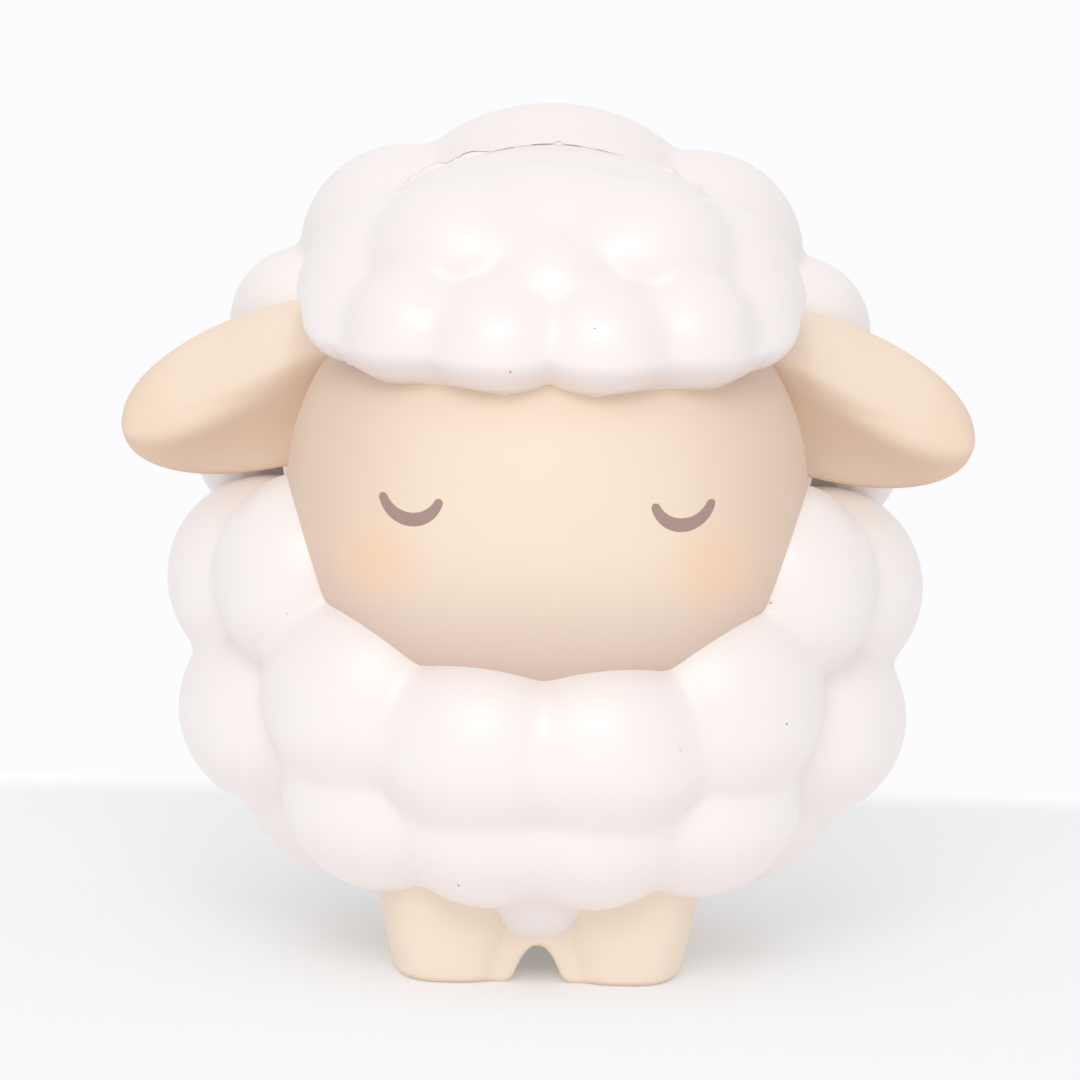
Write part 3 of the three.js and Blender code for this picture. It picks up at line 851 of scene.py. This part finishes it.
def make_feet(finish):
    """Both legs and the web between them as one smooth mass."""
    middle = (ARCH_WIDTH + SOLE_WIDTH) / 2
    points, faces = arch_web()
    for side in (1, -1):
        centre = Vector((side * middle, SOLE_MIDDLE_Y, 0))
        top = centre + Vector((0, 0, LEG_TALL))
        more_points, more_faces = lofted(stub_rings(side * middle), centre, top)
        start = len(points)
        points = points + more_points
        faces = faces + [tuple(start + index for index in face) for face in more_faces]
    feet = new_piece("feet", points, faces)
    remesh = feet.modifiers.new("fuse", "REMESH")
    remesh.mode = "VOXEL"
    remesh.voxel_size = FEET_VOXEL * MM
    remesh.use_smooth_shade = True
    smooth = feet.modifiers.new("soften", "SMOOTH")
    smooth.iterations = FEET_SMOOTHING
    settled(feet)
    for vertex in feet.data.vertices:
        vertex.co.z = max(vertex.co.z, 0.0)
    feet.data.materials.clear()
    feet.data.materials.append(finish)
    settle(feet, "body", ["leg_left", "leg_right"])


def on_face(x, z, proud):
    """A point on the front of the head, a little proud of it."""
    across = (x - HEAD_MIDDLE.x) / HEAD_RADII.x
    up = (z - HEAD_MIDDLE.z) / HEAD_RADII.z
    deep = (1 - abs(across) ** HEAD_SQUARENESS - abs(up) ** HEAD_SQUARENESS) ** (1 / HEAD_SQUARENESS)
    point = Vector((x, HEAD_MIDDLE.y - HEAD_RADII.y * deep, z))
    shares = (across, -deep, up)
    power = HEAD_SQUARENESS - 1
    slopes = [math.copysign(abs(share) ** power, share) / half for share, half in zip(shares, HEAD_RADII)]
    return point + Vector(slopes).normalized() * proud


def make_eye(side, word, finish):
    """One closed eye: a brush stroke along an arc, thicker in the middle and round at its ends."""
    half = math.radians(EYE_SWEEP / 2)
    cap = EYE_STROKE_END / 2 / EYE_ARC_RADIUS
    tilt = math.radians(EYE_TILT) * side
    sections = []
    for step in range(1, EYE_RINGS):
        turn = -math.cos(math.pi * step / EYE_RINGS) * (half + cap)
        beyond = max(0.0, (abs(turn) - half) / cap)
        middle_share = math.cos(min(abs(turn) / half, 1.0) * math.pi / 2)
        stroke = EYE_STROKE_END + (EYE_STROKE - EYE_STROKE_END) * middle_share
        width = stroke / 2 * math.sqrt(1 - min(beyond, 1.0) ** 2)
        ring = []
        for corner in range(EYE_SIDES):
            spin = 2 * math.pi * corner / EYE_SIDES
            radius = EYE_ARC_RADIUS + width * math.cos(spin)
            lift = (INK_PROUD if math.sin(spin) > 0 else INK_SUNK) * math.sin(spin)
            flat = Vector((radius * math.sin(turn + tilt), -radius * math.cos(turn + tilt)))
            x = side * EYE_OUT + flat.x
            z = HEAD_MIDDLE.z + EYE_ARC_CENTRE_UP + flat.y
            ring.append(on_face(x, z, lift))
        sections.append(ring)
    ends = [sum(sections[index], Vector()) / EYE_SIDES for index in (0, -1)]
    eye = new_piece(f"eye_print_{word}", *lofted(sections, *ends), finish)
    outward = bmesh.new()
    outward.from_mesh(eye.data)
    bmesh.ops.recalc_face_normals(outward, faces=outward.faces[:])
    outward.to_mesh(eye.data)
    outward.free()
    settle(eye, "head", [f"eye_{word}"])


def new_finish(name, roughness):
    """A material with its coordinates on the piece and its shader."""
    finish = bpy.data.materials.new(name)
    finish.use_nodes = True
    tree = finish.node_tree
    shader = tree.nodes["Principled BSDF"]
    shader.inputs["Roughness"].default_value = roughness
    where = tree.nodes.new("ShaderNodeTexCoord").outputs["Object"]
    return finish, tree, shader, where


def noise_of(tree, where, size, detail=2.0):
    """Soft noise from 0 to 1 whose lumps are about that many millimetres wide."""
    inputs = {"Vector": where, "Scale": 1 / (size * MM), "Detail": detail}
    return add_node(tree, "ShaderNodeTexNoise", inputs).outputs["Fac"]


def mix_of(tree, factor, first, second):
    """One colour running into another."""
    inputs = {0: factor, 6: first, 7: second}
    return add_node(tree, "ShaderNodeMix", inputs, data_type="RGBA").outputs[2]


def tone_of(tree, value, span, most=1.0):
    """The share of a tone that comes in over a span of millimetres."""
    return ramp_of(tree, value, span[0] * MM, span[1] * MM, high=most)


def facing_down(tree, first=-0.1, last=-0.75):
    """The share of a surface's turn to the floor, from 0 for upright to 1 for an underside."""
    faces = tree.nodes.new("ShaderNodeTexCoord").outputs["Normal"]
    return ramp_of(tree, parts_of(tree, faces)["Z"], first, last)


def pinholes_of(tree, where, spacing):
    """The open pores of the foam's skin: small round dots, strewn at random."""
    inputs = {"Vector": where, "Scale": 1 / (spacing * MM)}
    away = add_node(tree, "ShaderNodeTexVoronoi", inputs).outputs["Distance"]
    return ramp_of(tree, away, PORE_RADIUS / spacing, 0.5 * PORE_RADIUS / spacing)


def bump_of(tree, height, depth, normal=None):
    """Relief of a depth in millimetres, on top of an earlier one."""
    inputs = {"Height": height, "Strength": 1.0, "Distance": depth * MM}
    if normal:
        inputs["Normal"] = normal
    return add_node(tree, "ShaderNodeBump", inputs).outputs[0]


def foam_skin(tree, shader, where, pinholes):
    """The relief of painted foam: a fine grain, the slow waves of a sprayed coat, and open pores."""
    waves = bump_of(tree, noise_of(tree, where, size=5.5, detail=1.0), SPRAY_WAVES)
    grain = bump_of(tree, noise_of(tree, where, size=0.6, detail=3.0), SKIN_GRAIN, waves)
    pores = bump_of(tree, sum_of(tree, "SUBTRACT", 1.0, pinholes), PORE_DEPTH, grain)
    tree.links.new(pores, shader.inputs["Normal"])


def off_head(tree, where):
    """How far a point lies off the head's egg, near enough, in metres."""
    shares = vector_of(tree, "DIVIDE", vector_of(tree, "SUBTRACT", where, HEAD_MIDDLE * MM), HEAD_RADII * MM)
    sizes = [sum_of(tree, "ABSOLUTE", part) for part in parts_of(tree, shares)]
    powers = [sum_of(tree, "POWER", size, HEAD_SQUARENESS) for size in sizes]
    total = sum_of(tree, "ADD", sum_of(tree, "ADD", powers[0], powers[1]), powers[2])
    swollen = sum_of(tree, "POWER", total, 1 / HEAD_SQUARENESS)
    return sum_of(tree, "MULTIPLY", sum_of(tree, "SUBTRACT", swollen, 1.0), HEAD_RADII.y * MM)


def parting_hair(tree, where):
    """The share of the dark hair that the parting line shows over the crown, broken here and there."""
    parts = parts_of(tree, where)
    behind = sum_of(tree, "SUBTRACT", parts["Y"], PARTING_Y * MM)
    band = sum_of(tree, "MULTIPLY", tone_of(tree, behind, HAIR_FRONT), tone_of(tree, behind, HAIR_BACK))
    broken = ramp_of(tree, noise_of(tree, where, size=HAIR_BREAK_SIZE, detail=3.0), *HAIR_BREAKS)
    hair = sum_of(tree, "MULTIPLY", band, broken)
    aside = sum_of(tree, "ABSOLUTE", sum_of(tree, "SUBTRACT", parts["X"], HAIR_MIDDLE * MM))
    hair = sum_of(tree, "MULTIPLY", hair, tone_of(tree, aside, HAIR_ASIDE))
    return sum_of(tree, "MULTIPLY", hair, tone_of(tree, parts["Z"], HAIR_HEIGHTS))


def make_wool_paint():
    """Pearl white with painted shade, a lilac tone, on the undersides and below the fringe's roll, and cream
    where its edge meets the face.
    """
    finish, tree, shader, where = new_finish("pearl_wool_paint", roughness=0.4)
    height = parts_of(tree, where)["Z"]
    colour = mix_of(tree, noise_of(tree, where, size=26), linear(248, 240, 237), linear(252, 246, 243))
    # Painted shade: surfaces turned to the floor are darker and lilac.
    colour = mix_of(tree, facing_down(tree), colour, linear(244, 234, 232))
    # Painted shade where the fringe's wool rolls under at its rim.
    low = tone_of(tree, height, ROLL_SHADE_HEIGHTS)
    rolled = sum_of(tree, "MULTIPLY", facing_down(tree, first=-0.2), low)
    colour = mix_of(tree, rolled, colour, linear(236, 224, 221))
    rim = tone_of(tree, height, RIM_CREAM_HEIGHTS)
    edge = sum_of(tree, "MULTIPLY", tone_of(tree, off_head(tree, where), RIM_CREAM_OFF), rim)
    colour = mix_of(tree, edge, colour, linear(252, 236, 220))
    colour = mix_of(tree, parting_hair(tree, where), colour, linear(182, 154, 142))
    pinholes = pinholes_of(tree, where, WOOL_PORES)
    # Painted shade: each open pore is darker inside.
    colour = mix_of(tree, pinholes, colour, linear(150, 130, 122))
    tree.links.new(colour, shader.inputs["Base Color"])
    shader.inputs["Coat Weight"].default_value = 0.8
    shader.inputs["Coat Roughness"].default_value = 0.42
    foam_skin(tree, shader, where, pinholes)
    return finish


def make_bare_foam():
    """The white of the foam itself, where the paint doesn't hold on the mould's flash."""
    finish, tree, shader, where = new_finish("bare_foam", roughness=0.6)
    colour = mix_of(tree, noise_of(tree, where, size=1.5), linear(253, 249, 246), linear(255, 254, 252))
    tree.links.new(colour, shader.inputs["Base Color"])
    return finish


def cream_tones(tree, where):
    """The cream of the face, ears and feet, with a slight cloud in it."""
    return mix_of(tree, noise_of(tree, where, size=22), linear(246, 225, 202), linear(250, 230, 208))


def make_cream_paint():
    """The matt-satin cream of the ears and feet, with painted shade on their undersides and painted light on
    the feet near the floor and in the ears' roots.
    """
    finish, tree, shader, where = new_finish("cream_paint", roughness=0.55)
    # Painted shade: surfaces turned to the floor are darker.
    colour = mix_of(tree, facing_down(tree), cream_tones(tree, where), linear(222, 193, 169))
    parts = parts_of(tree, where)
    aside = sum_of(tree, "ABSOLUTE", parts["X"])
    # Painted light: the feet are paler near the floor, for the light the table throws up.
    painted_foot_light = tone_of(tree, parts["Z"], FOOT_BOUNCE_HEIGHTS, FOOT_BOUNCE_LIGHT)
    # Painted light: the ears' roots are paler, lifting the shade under the fringe.
    high = tone_of(tree, parts["Z"], ROOT_LIGHT_HEIGHTS, ROOT_PAINTED_LIGHT)
    root = sum_of(tree, "MULTIPLY", tone_of(tree, aside, ROOT_LIGHT_ASIDE), high)
    colour = mix_of(tree, sum_of(tree, "MAXIMUM", painted_foot_light, root), colour, linear(255, 239, 221))
    colour = mix_of(tree, tone_of(tree, aside, TIP_ASIDE, TIP_TONE), colour, linear(238, 210, 184))
    pinholes = pinholes_of(tree, where, CREAM_PORES)
    # Painted shade: each open pore is darker inside.
    colour = mix_of(tree, pinholes, colour, linear(138, 110, 92))
    tree.links.new(colour, shader.inputs["Base Color"])
    foam_skin(tree, shader, where, pinholes)
    return finish


def make_face_paint():
    """The cream of the head, with painted shade, darker and rosier, toward the chin and the sides, a painted
    shadow on the brow under the fringe, and a peach blush on each cheek.
    """
    finish, tree, shader, where = new_finish("cream_face_paint", roughness=0.5)
    parts = parts_of(tree, where)
    aside = sum_of(tree, "ABSOLUTE", parts["X"])
    colour = cream_tones(tree, where)
    # Painted shade: darker toward the sides of the face.
    colour = mix_of(tree, tone_of(tree, aside, FACE_SHADE_ASIDE), colour, linear(234, 208, 187))
    # Painted shade: darker and rosier toward the chin.
    colour = mix_of(tree, tone_of(tree, parts["Z"], CHIN_SHADE_HEIGHTS), colour, linear(219, 194, 181))
    # Painted shadow: the brow is darker under the fringe's overhang.
    brow_shadow = tone_of(tree, parts["Z"], BROW_SHADOW_HEIGHTS, BROW_SHADOW_TONE)
    colour = mix_of(tree, brow_shadow, colour, linear(232, 208, 187))
    cheek = add_node(tree, "ShaderNodeCombineXYZ", {"X": aside, "Z": parts["Z"]}).outputs[0]
    middle = (CHEEK_OUT * MM, 0, (HEAD_MIDDLE.z - CHEEK_DOWN) * MM)
    away = vector_of(tree, "LENGTH", vector_of(tree, "SUBTRACT", cheek, middle))
    blush = tone_of(tree, away, (CHEEK_RADIUS, 0), CHEEK_TONE)
    colour = mix_of(tree, blush, colour, linear(252, 212, 178))
    pinholes = pinholes_of(tree, where, FACE_PORES)
    # Painted shade: each open pore is darker inside.
    colour = mix_of(tree, pinholes, colour, linear(150, 118, 98))
    tree.links.new(colour, shader.inputs["Base Color"])
    foam_skin(tree, shader, where, pinholes)
    return finish


def make_ink():
    """The matt ink of the eyes, a little thinner in places."""
    finish, tree, shader, where = new_finish("printed_eye_ink", roughness=0.6)
    thin = noise_of(tree, where, size=1.2, detail=3.0)
    colour = mix_of(tree, thin, linear(164, 138, 130), linear(174, 148, 139))
    tree.links.new(colour, shader.inputs["Base Color"])
    return finish


def make_stage():
    """The table, up to its far edge, and the white beyond it."""
    near, far = -TABLE_REACH, TABLE_END
    corners = [(-TABLE_REACH, near, 0), (TABLE_REACH, near, 0), (TABLE_REACH, far, 0), (-TABLE_REACH, far, 0)]
    table = new_piece("table", corners, [(0, 1, 2, 3)])
    finish = bpy.data.materials.new("table_white")
    finish.use_nodes = True
    tree = finish.node_tree
    seen = tree.nodes.new("ShaderNodeLightPath").outputs["Is Camera Ray"]
    colour = mix_of(tree, seen, TABLE_WHITE, TABLE_SEEN)
    matt = add_node(tree, "ShaderNodeBsdfDiffuse", {"Color": colour}).outputs[0]
    where = tree.nodes.new("ShaderNodeTexCoord").outputs["Object"]
    last_stretch = ((TABLE_END - TABLE_FADE) * MM, TABLE_END * MM)
    strength = ramp_of(tree, parts_of(tree, where)["Y"], *last_stretch, low=1.0, high=TABLE_FAR)
    unseen = sum_of(tree, "SUBTRACT", 1.0, seen)
    strength = sum_of(tree, "ADD", sum_of(tree, "MULTIPLY", strength, seen), unseen)
    glow = add_node(tree, "ShaderNodeEmission", {"Color": TABLE_GLOW, "Strength": strength}).outputs[0]
    both = add_node(tree, "ShaderNodeAddShader", {0: matt, 1: glow}).outputs[0]
    tree.links.new(both, tree.nodes["Material Output"].inputs["Surface"])
    table.data.materials.append(finish)


def make_key_light():
    """The soft light from above the camera, turned to the figure."""
    lamp = bpy.data.lights.new("key", "AREA")
    lamp.shape = "RECTANGLE"
    lamp.size, lamp.size_y = [side * MM for side in KEY_SIZE]
    lamp.energy = KEY_POWER
    light = bpy.data.objects.new("key", lamp)
    bpy.context.scene.collection.objects.link(light)
    light.location = Vector(KEY_PLACE) * MM
    light.rotation_euler = (VIEW_AIM * MM - light.location).to_track_quat("-Z", "Y").to_euler()


def make_world():
    """Pale light from all round, strongest from above and weakest from level and below; the camera sees
    white.
    """
    world = bpy.data.worlds.new("pale_room")
    world.use_nodes = True
    tree = world.node_tree
    shader = tree.nodes["Background"]
    rays = tree.nodes.new("ShaderNodeLightPath").outputs
    straight = sum_of(tree, "MAXIMUM", rays["Is Camera Ray"], rays["Is Transmission Ray"])
    seen = sum_of(tree, "MAXIMUM", straight, rays["Is Glossy Ray"])
    height = parts_of(tree, tree.nodes.new("ShaderNodeTexCoord").outputs["Generated"])["Z"]
    even = add_node(
        tree,
        "ShaderNodeMapRange",
        {"Value": height, "To Min": WORLD_LEVEL, "To Max": WORLD_ABOVE},
    ).outputs["Result"]
    inputs = {"Factor": seen, "A": even, "B": WORLD_SEEN}
    strength = add_node(tree, "ShaderNodeMix", inputs).outputs["Result"]
    tint = mix_of(tree, seen, WORLD_TINT, WORLD_SEEN_TINT)
    tree.links.new(tint, shader.inputs["Color"])
    tree.links.new(strength, shader.inputs["Strength"])
    bpy.context.scene.world = world


def make_camera():
    """The photograph's view: a little above level, from the front, and rolled slightly."""
    view = bpy.data.cameras.new("view")
    view.sensor_width = 36
    view.lens = view.sensor_width * VIEW_DISTANCE / VIEW_WIDTH
    view.clip_start, view.clip_end = 0.05, 20
    camera = bpy.data.objects.new("view", view)
    bpy.context.scene.collection.objects.link(camera)
    away = direction(0, VIEW_ELEVATION)
    camera.location = (VIEW_AIM + away * VIEW_DISTANCE) * MM
    aimed = (-away).to_track_quat("-Z", "Y").to_matrix().to_4x4()
    turned = aimed @ Matrix.Rotation(math.radians(VIEW_ROLL), 4, "Z")
    camera.rotation_euler = turned.to_euler()
    bpy.context.scene.camera = camera


bpy.context.scene.view_settings.view_transform = "Standard"
make_camera()
make_world()
make_key_light()
make_stage()

wool = make_wool_paint()
cream = make_cream_paint()
face_cream = make_face_paint()
ink = make_ink()
swell_tree = make_swell_tree()
rim_tree = make_rim_tree()
make_body_wool(swell_tree, wool)
make_head_wool(swell_tree, rim_tree, wool, make_bare_foam())
make_head(face_cream)
make_tail(wool)
make_feet(cream)
for ear_side, ear_word in ((1, "left"), (-1, "right")):
    make_ear(ear_side, ear_word, cream)
    make_eye(ear_side, ear_word, ink)
